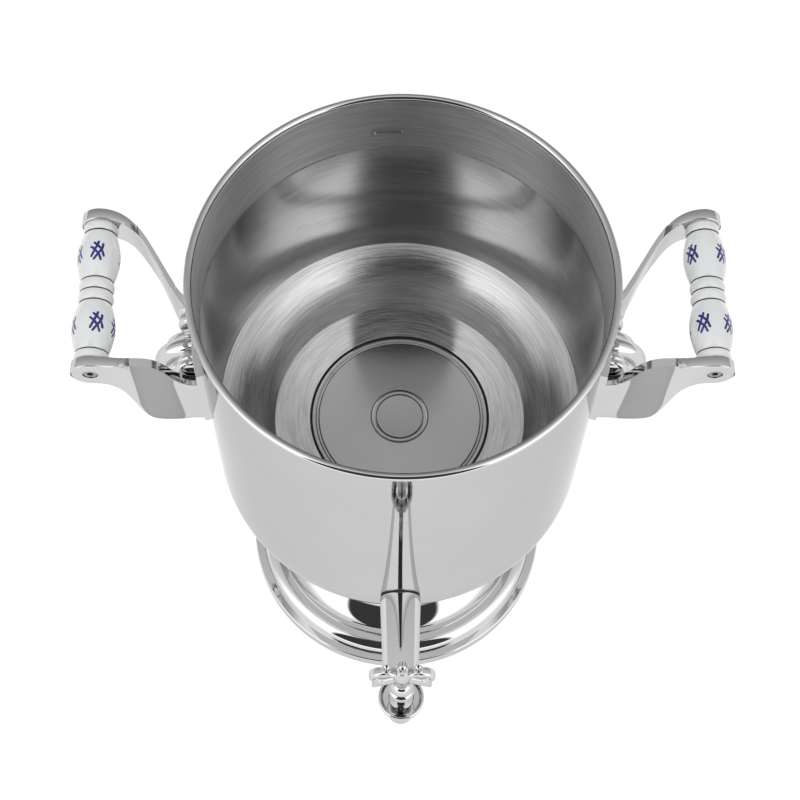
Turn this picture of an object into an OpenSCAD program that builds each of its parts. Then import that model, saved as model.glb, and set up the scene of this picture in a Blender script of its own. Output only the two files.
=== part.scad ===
// Hot water urn: double-walled vessel on a pedestal, with a tap and two porcelain grips.
// Z is up from the table, the tap points to -Y and the handles stand out along X.

/* [Vessel] */
// Outer diameter of the rolled rim
rim_d = 210; // [206:1:214]
// Height of the rim's top edge above the table
rim_top = 351; // [348:1:354]
// Thickness of the sheet steel
sheet = 0.8; // [0.7:0.05:0.9]
// Depth from the rim to the vessel floor
vessel_depth = 164.6; // [163:0.2:166]
// Height of the straight collar under the rim
collar_h = 42; // [38:1:46]
// Diameter of the flat vessel floor
floor_d = 140.4; // [139:0.2:142]
// Height of the sloping shoulder round the floor
shoulder_h = 24.4; // [22:0.2:27]
// How far the shoulder bulges up from a straight slope
shoulder_dome = 4; // [3:0.2:5]

/* [Heater] */
// Diameter of the raised heater plate
heater_d = 99.2; // [98:0.2:99.4]
// Diameter of the ring pressed in the plate's middle
plate_ring_d = 29.2; // [26:0.2:32]
// Number of studs round the clamp ring
stud_count = 6; // [4:1:8]

/* [Casing and pedestal] */
// Height at which the casing turns in to its bowl
bowl_z = 170.4; // [169:0.2:172]
// Radius of the bowl's curve
bowl_r = 63; // [61:0.5:64]
// Diameter of the pedestal's waist
waist_d = 86; // [84:1:90]
// Diameter of the pedestal's foot
foot_d = 185.8; // [183:0.2:188]
// Diameter at which the flare meets the foot
flare_d = 165; // [162:0.5:167]

/* [Tap] */
// Height of the tap's pipe
tap_z = 175; // [174.5:0.1:175.5]
// Distance of the tap's barrel from the vessel's axis
tap_reach = 161.7; // [158:0.1:166]
// Diameter of the pipe at the casing
pipe_d = 22.4; // [21:0.1:23]
// Diameter of the barrel's rim
barrel_d = 24; // [23:0.1:25]
// Width of the butterfly key
key_w = 33.6; // [32:0.1:36]
// Height of the key's middle above the pipe
key_lift = 54; // [53:0.5:55]

/* [Handles] */
// Distance of each grip's axis from the vessel's axis
grip_x = 149.1; // [147:0.1:151]
// Height of the grips' axes
grip_z = 331.6; // [330:0.2:333]
// Length of a porcelain grip
grip_len = 74; // [73:0.5:75]
// Diameter of a grip's two swellings
bulge_d = 21; // [20:0.2:22]
// Thickness of the cast arms
arm_t = 5.8; // [5.4:0.1:6.2]
// Width of the saddle plate against the casing
saddle_w = 52; // [51:0.5:54]
// Height of the saddle plate
saddle_h = 53; // [52:0.5:55]

/* [Rear panel] */
// Width of the panel that holds the inlet and the switch
panel_w = 64; // [63:0.5:66]
// Height of the panel
panel_h = 27; // [26:0.5:27.5]

/* [Hidden] */
$fn = 96;

rim_r = rim_d / 2;
rim_bead = 1.95;
mouth_r = rim_r - 2 * rim_bead;
casing_r = rim_r - 1.8;
sheet_top = rim_top - 2.8;

collar_z = rim_top - collar_h;
crease = 0.4;
floor_z = rim_top - vessel_depth;
floor_r = floor_d / 2;
shoulder_r = mouth_r - 2.7;
shoulder_z = floor_z + shoulder_h;
shoulder_steps = 10;
mark_z = rim_top - 29;
mark_w = 16;
mark_h = 3;
mark_turn = 93;

heater_r = heater_d / 2;
well_r = heater_r + 1;
flange_r = heater_r + 6.7;
flange_t = 1;
gasket_t = 1.8;
flange_z = floor_z - sheet - gasket_t;
clamp_t = 2;
clamp_z = flange_z - flange_t - clamp_t;
stud_r = 1.5;
stud_ring_r = (well_r + flange_r) / 2;
nut_h = 2.4;
nut_flats = 5.5;
stud_turn = 180 / stud_count;
spreader_r = heater_r - 1.6;
spreader_t = 4;
spreader_z = floor_z - flange_t - spreader_t;
element_r = 3.4;
element_ring_r = 34;
element_sweep = 300;
pin_len = 20;
cutout_x = 13;

bowl_x = casing_r - bowl_r;
bowl_bottom = bowl_z - bowl_r;

outlet_y = -63.5;
outlet_bore_r = 4;
nipple_r = 5.4;
elbow_r = 6.8;
elbow_end = -85;
shank_r = 7;
shank_end = -87;
hose_r = 9.4;
hose_len = 17;
pipe_r = pipe_d / 2;
pipe_end_r = 9.2;
pipe_foot_y = -casing_r - 1;
water_r = 4.4;
lock_nut_flats = 19;
lock_nut_h = 5;
washer_t = 1.8;

barrel_r = barrel_d / 2;
barrel_top = tap_z + 11.8;
barrel_h = 30.6;
spout_tip_r = 7;
plug_bore_r = 6.5;
plug_r = 6.45;
plug_seat_z = tap_z - 8.6;
plug_top = barrel_top - 2.8;
stem_r = 4;
gland_r = 6.9;
gland_h = 11.8;
gland_bore_r = 4.05;
ball_r = 6.1;
ball_z = barrel_top + gland_h + ball_r + 3.4;
key_z = tap_z + key_lift;
key_t = 4.6;
lobe_r = 8.2;
lobe_x = key_w / 2 - lobe_r;
seal_r = 0.85;
seal_z = barrel_top - 5.4;

saddle_r = casing_r + 3.6;
saddle_z = 240;
saddle_turn = asin(saddle_w / 2 / (casing_r + 2));
lug_r = 9.4;
arm_root_x = 102.4;
arm_steps = 12;
foot_low = 241;
foot_high = 278;
foot_y = 25;
lug_face = grip_len / 2 + 0.5 + arm_t;
rod_r = 3;
rod_bore_r = 3.3;
grip_screw_r = 2;
screw_head_r = 3.4;
head_seat = 3.8;
collar_r = 8.5;
groove_r = 7.8;
groove_end = 32.5;
groove_mid = 6.1;
boss_x = 105;
// Each bead of the boss: distance from its middle, height, radius, and radius of its rounded edge.
boss_beads = [[0, 256, 24.5, 5], [7.6, 256, 19.3, 4], [11.2, 277, 10.6, 2.5], [16.1, 279.5, 11.2, 2.5]];
rivet_rows = [saddle_z + 8, saddle_z + saddle_h - 8];
rivet_turn = 12;
rivet_r = 1.9;
rivet_head_r = 4;
rivet_head_t = 0.9;

lip_z = 1.5;
lip_top = 13.5;
lip_round = 9;
flare_r = flare_d / 2;
foot_r = foot_d / 2;
waist_r = waist_d / 2;
flare_z = 15.5;
flare_steps = 14;
pedestal_t = 1;
neck_h = 6.4;
neck_r = waist_r + 3.4;
pedestal_top = bowl_bottom - neck_h;
plate_r = foot_r - pedestal_t - 0.3;
plate_z = 2.6;
plate_t = 2.4;
foot_ring_r = 84;
foot_ring_w = 7;
tie_r = 3;
tie_nut_h = 5;
tie_nut_flats = 10;
tie_seat_z = 10;
tie_cup_r = 9;

panel_z = 169.6;
panel_y = casing_r + 3.6;
inlet_x = -12;
inlet_w = 28;
inlet_h = 21;
inlet_body_w = 25.6;
inlet_body_h = 18.8;
inlet_cavity_w = 23.2;
inlet_cavity_h = 16;
inlet_depth = 21;
inlet_cavity_depth = 15.5;
switch_x = 17;
switch_w = 15;
switch_h = 21;
switch_body_w = 12.8;
switch_body_h = 18.8;
switch_depth = 16;
rocker_r = 7.6;
rocker_w = 10;
rocker_y = panel_y - 4;
rocker_tilt = 9;
panel_screw_x = 28.9;
panel_screw_r = 1.5;
panel_nut_y = panel_y - 12;

function ease(t) = t <= 0 ? 0 : t >= 1 ? 1 : t * t * (3 - 2 * t);
function blend(a, b, t) = a + (b - a) * ease(t);
function steps(from, to, count) = [for (i = [0 : count]) from + (to - from) * i / count];

// ---- Shared shapes ----

module tube(outer, inner, h) {
    difference() {
        cylinder(h = h, r = outer);
        translate([0, 0, -1])
            cylinder(h = h + 2, r = inner);
    }
}

module hex_nut(flats, h, bore) {
    difference() {
        cylinder(h = h, r = flats / sqrt(3), $fn = 6);
        translate([0, 0, -1])
            cylinder(h = h + 2, r = bore);
    }
}

// Points local Z outwards from the vessel's axis, at an angle about Z and a height.
module outward(turn, z) {
    rotate([0, 0, turn])
        translate([0, 0, z])
            rotate([0, 90, 0])
                children();
}

// Points local Z to the front, along the tap's pipe.
module along_pipe() {
    translate([0, 0, tap_z])
        rotate([90, 0, 0])
            children();
}

module at_barrel() {
    translate([0, -tap_reach, 0])
        children();
}

// Points local Z to the back and keeps local X, so an outline's Y becomes height.
module through_panel(x, y) {
    translate([x, y, panel_z])
        rotate([90, 0, 0])
            mirror([0, 0, 1])
                children();
}

module rounded_rectangle(w, h, r) {
    square([w - 2 * r, h], center = true);
    square([w, h - 2 * r], center = true);
    for (sx = [-1, 1], sy = [-1, 1])
        translate([sx * (w / 2 - r), sy * (h / 2 - r)])
            circle(r);
}

// Repeats a right-hand piece on the left.
module on_left() {
    mirror([1, 0, 0])
        children();
}

module both_sides() {
    for (side = [0, 1])
        mirror([side, 0, 0])
            children();
}

module front_and_back() {
    for (side = [0, 1])
        mirror([0, side, 0])
            children();
}

// ---- Vessel, casing and rim ----

// Filled half section of the casing, straight above and round below.
module casing_section(grow, top) {
    bowl = bowl_r + grow;
    translate([0, bowl_z])
        square([casing_r + grow, top - bowl_z]);
    translate([0, bowl_z - bowl])
        square([bowl_x, bowl]);
    intersection() {
        translate([bowl_x, bowl_z])
            circle(bowl);
        translate([bowl_x, bowl_z - bowl])
            square(bowl);
    }
}

module casing_solid(grow = 0) {
    rotate_extrude($fn = 360)
        casing_section(grow, sheet_top);
}

module outer_shell() {
    color("gainsboro")
        difference() {
            rotate_extrude()
                difference() {
                    casing_section(0, sheet_top);
                    casing_section(-sheet, sheet_top + 1);
                }
            along_pipe()
                cylinder(h = casing_r + 10, r = shank_r + 0.2);
            translate([0, 0, bowl_bottom - 1])
                cylinder(h = 4, r = tie_r + 0.2);
            both_sides()
                for (turn = [-rivet_turn, rivet_turn], z = rivet_rows)
                    outward(turn, z)
                        translate([0, 0, casing_r - 5])
                            cylinder(h = 10, r = rivet_r);
            through_panel(inlet_x, 80)
                linear_extrude(40)
                    square([inlet_body_w + 0.6, inlet_body_h + 0.6], center = true);
            through_panel(switch_x, 80)
                linear_extrude(40)
                    square([switch_body_w + 0.6, switch_body_h + 0.6], center = true);
            both_sides()
                through_panel(panel_screw_x, 80)
                    cylinder(h = 40, r = panel_screw_r);
        }
}

// Points of a shallow curve from a to b that bulges to the left of the way.
function bulge(a, b, rise) = [
    for (i = [0 : shoulder_steps])
        let (
            way = b - a,
            part = i / shoulder_steps,
            lift = 4 * rise * part * (1 - part) / norm(way)
        )
        a + part * way + lift * [-way[1], way[0]]
];

module inner_vessel() {
    inside = concat(
        [[well_r, floor_z]],
        bulge([floor_r, floor_z], [shoulder_r, shoulder_z], shoulder_dome),
        [
            [mouth_r - crease, collar_z - 1],
            [mouth_r, collar_z],
            [mouth_r, sheet_top]
        ]
    );
    outside = concat(
        [
            [mouth_r + sheet, sheet_top],
            [mouth_r + sheet, collar_z],
            [mouth_r - crease + sheet, collar_z - 1]
        ],
        bulge([shoulder_r + sheet, shoulder_z - 0.4], [floor_r + 0.3, floor_z - sheet], -shoulder_dome),
        [[well_r, floor_z - sheet]]
    );
    color("silver")
        difference() {
            rotate_extrude()
                polygon(concat(inside, outside));
            translate([0, outlet_y, floor_z - 5])
                cylinder(h = 10, r = nipple_r);
            // fill level pressed in the back of the collar
            intersection() {
                cylinder(h = rim_top, r = mouth_r + 0.4);
                outward(mark_turn, mark_z)
                    linear_extrude(rim_r)
                        rounded_rectangle(mark_h, mark_w, 1.2);
            }
        }
}

module rim_ring() {
    color("gainsboro")
        rotate_extrude()
            difference() {
                translate([rim_r - rim_bead, rim_top - rim_bead])
                    circle(rim_bead);
                translate([mouth_r - 1, rim_top - 5])
                    square([casing_r - mouth_r + 1, sheet_top - rim_top + 5]);
            }
}

// ---- Heater in the vessel floor ----

module heater_plate() {
    color("darkgray")
        difference() {
            union() {
                rotate_extrude()
                    polygon([
                        [0, floor_z - flange_t],
                        [heater_r - flange_t, floor_z - flange_t],
                        [heater_r - flange_t, flange_z - flange_t],
                        [flange_r, flange_z - flange_t],
                        [flange_r, flange_z],
                        [heater_r, flange_z],
                        [heater_r, floor_z - 0.6],
                        [heater_r - 0.6, floor_z],
                        [0, floor_z]
                    ]);
                rotate_extrude()
                    intersection() {
                        translate([plate_ring_d / 2, floor_z - 0.5])
                            circle(1.3);
                        translate([0, floor_z - 0.5])
                            square([heater_r, 3]);
                    }
            }
            for (i = [1 : stud_count])
                rotate([0, 0, i * 360 / stud_count + stud_turn])
                    translate([stud_ring_r, 0, flange_z - 5])
                        cylinder(h = 8, r = stud_r);
        }
}

module at_studs() {
    for (i = [1 : stud_count])
        rotate([0, 0, i * 360 / stud_count + stud_turn])
            translate([stud_ring_r, 0, 0])
                children();
}

module heater_gasket() {
    color("firebrick")
        difference() {
            translate([0, 0, flange_z])
                tube(flange_r, well_r, gasket_t);
            at_studs()
                translate([0, 0, flange_z - 1])
                    cylinder(h = 5, r = stud_r);
        }
}

module clamp_ring() {
    color("slategray")
        difference() {
            translate([0, 0, clamp_z])
                tube(flange_r, spreader_r + 1, clamp_t);
            at_studs()
                translate([0, 0, clamp_z - 1])
                    cylinder(h = 5, r = stud_r);
        }
}

module clamp_studs() {
    color("silver")
        at_studs()
            translate([0, 0, clamp_z - nut_h - 1.5])
                cylinder(h = floor_z - sheet - clamp_z + nut_h + 1.5, r = stud_r);
}

module clamp_nuts() {
    color("lightgray")
        at_studs()
            translate([0, 0, clamp_z - nut_h])
                hex_nut(nut_flats, nut_h, stud_r);
}

module heat_spreader() {
    color("lightsteelblue")
        translate([0, 0, spreader_z])
            cylinder(h = spreader_t, r = spreader_r);
}

module heating_element() {
    ring_z = spreader_z - element_r - 0.1;
    color("dimgray")
        rotate([0, 0, 90 + (360 - element_sweep) / 2]) {
            translate([0, 0, ring_z])
                rotate_extrude(angle = element_sweep)
                    translate([element_ring_r, 0])
                        circle(element_r);
            for (turn = [0, element_sweep])
                rotate([0, 0, turn])
                    translate([element_ring_r, 0, spreader_z]) {
                        translate([0, 0, -pin_len])
                            cylinder(h = pin_len, r = element_r + 0.5);
                        translate([0, 0, -pin_len - 7])
                            cylinder(h = 8, r = 1.2);
                    }
        }
}

module thermostat() {
    color("ivory")
        translate([-cutout_x, 0, spreader_z - 9]) {
            cylinder(h = 9, r = 9.5);
            for (side = [-1, 1])
                translate([side * 6 - 0.4, -3, -8])
                    cube([0.8, 6, 8.1]);
        }
}

module thermal_cutout() {
    color("black")
        translate([cutout_x, 0, spreader_z - 7]) {
            cylinder(h = 7, r = 7);
            for (side = [-1, 1])
                translate([side * 4 - 0.4, -2.4, -7])
                    cube([0.8, 4.8, 7.1]);
        }
}

// ---- Outlet under the floor ----

module outlet_elbow() {
    color("peru")
        difference() {
            union() {
                translate([0, outlet_y, tap_z - elbow_r])
                    cylinder(h = floor_z - sheet - 1 - tap_z + elbow_r, r = elbow_r);
                translate([0, outlet_y, tap_z])
                    cylinder(h = floor_z + 3 - tap_z, r = nipple_r);
                along_pipe()
                    translate([0, 0, -outlet_y])
                        cylinder(h = outlet_y - elbow_end, r = shank_r);
            }
            translate([0, outlet_y, tap_z])
                cylinder(h = 20, r = outlet_bore_r);
            along_pipe()
                translate([0, 0, -outlet_y - outlet_bore_r])
                    cylinder(h = 40, r = outlet_bore_r);
        }
}

module outlet_seal() {
    color("firebrick")
        translate([0, outlet_y, floor_z - sheet - 1])
            tube(elbow_r, nipple_r, 1);
}

module outlet_nut() {
    color("silver")
        translate([0, outlet_y, floor_z])
            tube(elbow_r - 0.2, nipple_r, 2.6);
}

module link_hose() {
    color("indianred")
        along_pipe()
            translate([0, 0, -elbow_end - hose_len / 2])
                tube(hose_r, shank_r, hose_len);
}

// ---- Tap ----

// Two washers, one outside and one inside the wall, each following its curve.
module tap_gaskets() {
    color("dimgray")
        difference() {
            along_pipe()
                translate([0, 0, casing_r - 4])
                    tube(pipe_r - 0.4, shank_r, 5);
            casing_solid();
        }
    color("dimgray")
        intersection() {
            along_pipe()
                translate([0, 0, casing_r - sheet - washer_t])
                    tube(pipe_r - 0.4, shank_r, 5);
            casing_solid(-sheet);
        }
}

module tap_lock_nut() {
    color("lightgray")
        along_pipe()
            translate([0, 0, casing_r - sheet - washer_t - lock_nut_h])
                hex_nut(lock_nut_flats, lock_nut_h, shank_r);
}

// Half section of the barrel: broad rim above, tapering to the spout below.
module barrel_section() {
    tip_z = barrel_top - barrel_h;
    polygon([
        [0, tip_z],
        [spout_tip_r - 0.8, tip_z],
        [spout_tip_r, tip_z + 0.8],
        [spout_tip_r + 0.4, tip_z + 9],
        [barrel_r - 2.2, barrel_top - 12],
        [barrel_r - 0.8, barrel_top - 5],
        [barrel_r - 0.8, barrel_top - 2],
        [0, barrel_top - 2]
    ]);
    translate([barrel_r - 1.6, barrel_top - 1.6])
        circle(1.6);
    translate([0, barrel_top - 2.1])
        square([barrel_r - 1.6, 1.3]);
}

module tap_body() {
    color("gainsboro")
        difference() {
            union() {
                at_barrel()
                    rotate_extrude()
                        barrel_section();
                along_pipe()
                    translate([0, 0, -pipe_foot_y])
                        cylinder(h = tap_reach + pipe_foot_y - 4, r1 = pipe_r, r2 = pipe_end_r);
                along_pipe()
                    translate([0, 0, -shank_end])
                        cylinder(h = shank_end - pipe_foot_y + 1, r = shank_r);
            }
            along_pipe()
                translate([0, 0, -shank_end - 1])
                    cylinder(h = tap_reach + shank_end + 1, r = water_r);
            at_barrel() {
                translate([0, 0, plug_seat_z])
                    cylinder(h = 30, r = plug_bore_r);
                translate([0, 0, plug_seat_z - 20])
                    cylinder(h = 21, r = water_r);
            }
        }
}

module tap_plug() {
    color("goldenrod")
        at_barrel()
            difference() {
                union() {
                    translate([0, 0, plug_seat_z + 0.3])
                        cylinder(h = plug_top - plug_seat_z - 0.3, r = plug_r);
                    translate([0, 0, plug_top - 1])
                        cylinder(h = ball_z - ball_r + 1.4 - plug_top + 1, r = stem_r);
                    translate([0, 0, ball_z - ball_r])
                        cylinder(h = 2 * ball_r + 4, r = stem_r - 1);
                }
                translate([0, 0, tap_z])
                    rotate([0, 90, 0])
                        cylinder(h = 10, r = outlet_bore_r);
                translate([0, 0, plug_seat_z - 1])
                    cylinder(h = tap_z - plug_seat_z + 1, r = outlet_bore_r);
                translate([0, 0, seal_z - seal_r])
                    tube(plug_r + 1, plug_r - 2 * seal_r, 2 * seal_r);
            }
}

module plug_seals() {
    color("black")
        at_barrel()
            translate([0, 0, seal_z])
                rotate_extrude()
                    translate([plug_r - seal_r, 0])
                        circle(seal_r);
}

module gland_nut() {
    ring_h = gland_h / 3;
    color("gainsboro")
        at_barrel()
            difference() {
                union() {
                    translate([0, 0, plug_top + 0.3])
                        cylinder(h = 5, r = plug_bore_r);
                    translate([0, 0, barrel_top - 0.8])
                        cylinder(h = gland_h + 0.8, r = gland_r - 0.9);
                    rotate_extrude()
                        for (i = [0 : 2])
                            translate([gland_r - 1.6, barrel_top - 0.8 + ring_h * (i + 0.5)])
                                circle(1.6);
                }
                translate([0, 0, plug_top])
                    cylinder(h = 30, r = gland_bore_r);
            }
}

// Half section of the key's hub: ball, waist and cone under the crown.
module key_hub_section() {
    intersection() {
        translate([0, ball_z])
            circle(ball_r);
        translate([0, ball_z - ball_r])
            square([ball_r, 2 * ball_r]);
    }
    polygon([
        [0, ball_z],
        [4.4, ball_z],
        [3.8, ball_z + ball_r + 1.6],
        [5.2, key_z - 4],
        [4.2, key_z + 4],
        [2.6, key_z + 9],
        [0, key_z + 9]
    ]);
}

// One wing of the key as seen from the front.
module key_wing_outline() {
    translate([lobe_x, key_z])
        circle(lobe_r);
    polygon([
        [3, key_z - 7],
        [lobe_x + 5.6, key_z - 14],
        [lobe_x + lobe_r, key_z],
        [3, key_z + 4]
    ]);
    translate([lobe_x - 0.6, key_z + 9.6])
        circle(2.4);
    translate([lobe_x - 2.6, key_z + 4])
        square([4, 5.6]);
}

module tap_key() {
    color("gainsboro")
        at_barrel()
            difference() {
                union() {
                    rotate_extrude()
                        key_hub_section();
                    both_sides()
                        rotate([90, 0, 0])
                            translate([0, 0, -key_t / 2])
                                linear_extrude(key_t)
                                    key_wing_outline();
                }
                translate([0, 0, ball_z - ball_r - 1])
                    cylinder(h = 2 * ball_r + 5, r = stem_r - 1);
                translate([0, 0, ball_z - ball_r - 1])
                    cylinder(h = 2.4, r = stem_r);
                translate([0, 0, key_z])
                    cylinder(h = 20, r = 1.5);
            }
}

module key_finial() {
    top = key_z + 9;
    color("gainsboro")
        at_barrel() {
            translate([0, 0, key_z])
                cylinder(h = 10, r = 1.5);
            rotate_extrude()
                polygon([
                    [0, top],
                    [2.6, top],
                    [1.6, top + 1.6],
                    [3.2, top + 4],
                    [2.2, top + 6.4],
                    [0, top + 8]
                ]);
        }
}

// ---- Handles ----

function arm_top(x) = blend(foot_high, grip_z + lug_r, (x - 108) / 30);
function arm_low(x) = blend(foot_low, grip_z - lug_r, (x - 117) / 23);
function arm_out(x) = blend(foot_y, lug_face, (x - 110) / 28);

// The arm from the side: broad foot at the casing, sweeping up to a round lug.
module arm_side() {
    upper = concat([arm_root_x], steps(108, 138, arm_steps), [grip_x]);
    lower = concat([arm_root_x], steps(117, 140, arm_steps), [grip_x]);
    count = len(lower);
    polygon(concat(
        [for (x = upper) [x, arm_top(x)]],
        [for (i = [1 : count]) [lower[count - i], arm_low(lower[count - i])]]
    ));
    translate([grip_x, grip_z])
        circle(lug_r);
}

// The arm from above: a band of even thickness that draws in towards the casing.
module arm_plan() {
    stations = concat([arm_root_x], steps(110, 138, arm_steps), [grip_x + lug_r + 1]);
    count = len(stations);
    polygon(concat(
        [for (x = stations) [x, arm_out(x)]],
        [for (i = [1 : count]) arm_inside(stations[count - i])]
    ));
}

// The point of the inner face square to the outer face at x.
function arm_inside(x) =
    let (lean = atan(arm_out(x + 0.5) - arm_out(x - 0.5)))
    [x + arm_t * sin(lean), arm_out(x) - arm_t * cos(lean)];

module arm() {
    intersection() {
        translate([0, lug_face + 5, 0])
            rotate([90, 0, 0])
                linear_extrude(lug_face + 5)
                    arm_side();
        translate([0, 0, foot_low - 5])
            linear_extrude(grip_z + lug_r - foot_low + 10)
                arm_plan();
    }
}

module at_lug(y) {
    translate([grip_x, y, grip_z])
        rotate([-90, 0, 0])
            children();
}

module handle_frame_right() {
    edge = 0.8;
    depth = saddle_r - casing_r;
    color("gainsboro")
        difference() {
            union() {
                rotate([0, 0, -saddle_turn])
                    rotate_extrude(angle = 2 * saddle_turn)
                        translate([casing_r, saddle_z])
                            polygon([
                                [0, 0],
                                [depth - edge, 0],
                                [depth, edge],
                                [depth, saddle_h - edge],
                                [depth - edge, saddle_h],
                                [0, saddle_h]
                            ]);
                front_and_back()
                    arm();
            }
            front_and_back() {
                at_lug(lug_face - arm_t - 1)
                    cylinder(h = arm_t + 2, r = grip_screw_r + 0.1);
                at_lug(lug_face - head_seat)
                    cylinder(h = head_seat + 1, r = screw_head_r + 0.3);
            }
            for (turn = [-rivet_turn, rivet_turn], z = rivet_rows)
                outward(turn, z)
                    translate([0, 0, casing_r - 1])
                        cylinder(h = 4, r = rivet_r);
        }
}

module handle_frame_left() {
    on_left()
        handle_frame_right();
}

module handle_boss_right() {
    inside_arms = foot_y - arm_t;
    color("gainsboro")
        difference() {
            intersection() {
                for (side = [-1, 1], bead = boss_beads)
                    translate([boss_x, side * bead[0], bead[1]])
                        rotate([90, 0, 0])
                            rotate_extrude() {
                                translate([bead[2] - bead[3], 0])
                                    circle(bead[3]);
                                translate([0, -bead[3]])
                                    square([bead[2] - bead[3], 2 * bead[3]]);
                            }
                translate([0, -inside_arms, saddle_z])
                    cube([boss_x + 40, 2 * inside_arms, saddle_h]);
            }
            translate([0, 0, saddle_z - 1])
                cylinder(h = saddle_h + 2, r = saddle_r);
        }
}

module handle_boss_left() {
    on_left()
        handle_boss_right();
}

// Half section of a grip along its length: collars, two swellings and two middle rings.
module grip_section() {
    half = grip_len / 2;
    bulge_r = bulge_d / 2;
    reach = (groove_end - groove_mid) / 2;
    rise = bulge_r - groove_r;
    curve = (reach * reach + rise * rise) / (2 * rise);
    ring_rise = 0.8;
    ring_reach = groove_mid / 2;
    ring_curve = (ring_reach * ring_reach + ring_rise * ring_rise) / (2 * ring_rise);
    for (side = [-1, 1]) {
        intersection() {
            translate([bulge_r - curve, side * (groove_mid + reach)])
                circle(curve, $fn = 240);
            translate([0, side * (groove_mid + reach) - reach])
                square([bulge_r + 1, 2 * reach]);
        }
        intersection() {
            translate([groove_r + ring_rise - ring_curve, side * ring_reach])
                circle(ring_curve, $fn = 120);
            translate([0, side * ring_reach - ring_reach])
                square([bulge_r, 2 * ring_reach]);
        }
        translate([0, side * (half + groove_end) / 2 - (half - groove_end) / 2])
            square([collar_r, half - groove_end]);
    }
}

module grip_right() {
    color("white")
        translate([grip_x, 0, grip_z])
            rotate([90, 0, 0])
                difference() {
                    rotate_extrude()
                        grip_section();
                    translate([0, 0, -grip_len])
                        cylinder(h = 2 * grip_len, r = rod_bore_r);
                }
}

module grip_left() {
    on_left()
        grip_right();
}

module grip_rod_right() {
    half = grip_len / 2 + 0.5;
    color("silver")
        difference() {
            at_lug(-half)
                cylinder(h = 2 * half, r = rod_r);
            front_and_back()
                at_lug(half - 12)
                    cylinder(h = 13, r = grip_screw_r);
        }
}

module grip_rod_left() {
    on_left()
        grip_rod_right();
}

module grip_washers() {
    color("darkkhaki")
        both_sides()
            front_and_back()
                at_lug(grip_len / 2)
                    tube(collar_r - 0.6, rod_r, 0.5);
}

module grip_screws() {
    color("dimgray")
        both_sides()
            front_and_back()
                difference() {
                    union() {
                        at_lug(lug_face - head_seat)
                            cylinder(h = 3.4, r = screw_head_r);
                        at_lug(grip_len / 2 - 9)
                            cylinder(h = lug_face - head_seat - grip_len / 2 + 9.5, r = grip_screw_r);
                    }
                    at_lug(lug_face - 2.2)
                        cylinder(h = 5, r = 1.7, $fn = 6);
                }
}

module saddle_rivets() {
    color("silver")
        both_sides()
            for (turn = [-rivet_turn, rivet_turn], z = rivet_rows) {
                outward(turn, z)
                    translate([0, 0, casing_r - sheet - 0.2])
                        cylinder(h = sheet + 0.2 + 3, r = rivet_r);
                intersection() {
                    outward(turn, z)
                        translate([0, 0, casing_r - 10])
                            cylinder(h = 15, r = rivet_head_r);
                    translate([0, 0, z - 10])
                        tube(casing_r - sheet, casing_r - sheet - rivet_head_t, 20);
                }
            }
}

// ---- Pedestal ----

module neck_collar() {
    color("gainsboro")
        rotate_extrude() {
            translate([tie_r + 0.2, pedestal_top])
                square([neck_r - neck_h / 2 - tie_r - 0.2, neck_h]);
            translate([neck_r - neck_h / 2, pedestal_top + neck_h / 2])
                circle(neck_h / 2);
        }
}

// The flare is a quarter ellipse, level at the foot and upright at the waist.
function flare(t, inset) = [
    flare_r - inset - (flare_r - waist_r) * sin(t),
    pedestal_top - pedestal_t - (pedestal_top - pedestal_t - flare_z + inset) * cos(t)
];

// Filled half section of the foot with its rounded edge.
module foot_section(inset, low) {
    bend_x = foot_r - lip_round;
    bend_z = lip_top - lip_round;
    round_r = lip_round - inset;
    translate([0, low])
        square([bend_x, bend_z + round_r - low]);
    translate([0, low])
        square([bend_x + round_r, bend_z - low]);
    intersection() {
        translate([bend_x, bend_z])
            circle(round_r);
        translate([bend_x, bend_z])
            square(round_r);
    }
}

module base_pedestal() {
    turns = steps(0, 90, flare_steps);
    count = len(turns);
    color("gainsboro")
        union() {
            rotate_extrude()
                polygon(concat(
                    [for (i = [1 : count]) flare(turns[count - i], 0)],
                    [[flare_r, lip_top - pedestal_t / 2], [flare_r - pedestal_t, lip_top - pedestal_t / 2]],
                    [for (t = turns) flare(t, pedestal_t)],
                    [[tie_r + 0.2, pedestal_top - pedestal_t], [tie_r + 0.2, pedestal_top],
                     [waist_r, pedestal_top]]
                ));
            rotate_extrude()
                difference() {
                    foot_section(0, lip_z);
                    foot_section(pedestal_t, lip_z - 1);
                    square([flare_r - 2 * pedestal_t, 2 * lip_top]);
                }
        }
}

module base_plate() {
    color("black")
        difference() {
            union() {
                translate([0, 0, plate_z])
                    cylinder(h = plate_t, r = plate_r);
                translate([0, 0, plate_z])
                    cylinder(h = tie_seat_z + 2 - plate_z, r = tie_cup_r + 2);
                for (turn = [0 : 60 : 300])
                    rotate([0, 0, turn])
                        translate([tie_cup_r + 1, -1, plate_z])
                            cube([plate_r - tie_cup_r - 4, 2, 6]);
            }
            cylinder(h = tie_seat_z, r = tie_cup_r);
            cylinder(h = 20, r = tie_r + 0.2);
            translate([0, 0, plate_z - 1])
                tube(foot_ring_r, foot_ring_r - foot_ring_w, 2);
        }
}

module foot_ring() {
    color("dimgray")
        tube(foot_ring_r, foot_ring_r - foot_ring_w, plate_z + 1);
}

module tie_rod() {
    color("silver")
        translate([0, 0, tie_seat_z - tie_nut_h - 2])
            cylinder(h = bowl_bottom + sheet + 2 + tie_nut_h + 4 - tie_seat_z + tie_nut_h, r = tie_r);
}

module tie_nuts() {
    color("lightgray") {
        translate([0, 0, tie_seat_z - tie_nut_h])
            hex_nut(tie_nut_flats, tie_nut_h, tie_r);
        translate([0, 0, bowl_bottom + sheet + 2])
            hex_nut(tie_nut_flats, tie_nut_h, tie_r);
    }
}

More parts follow.
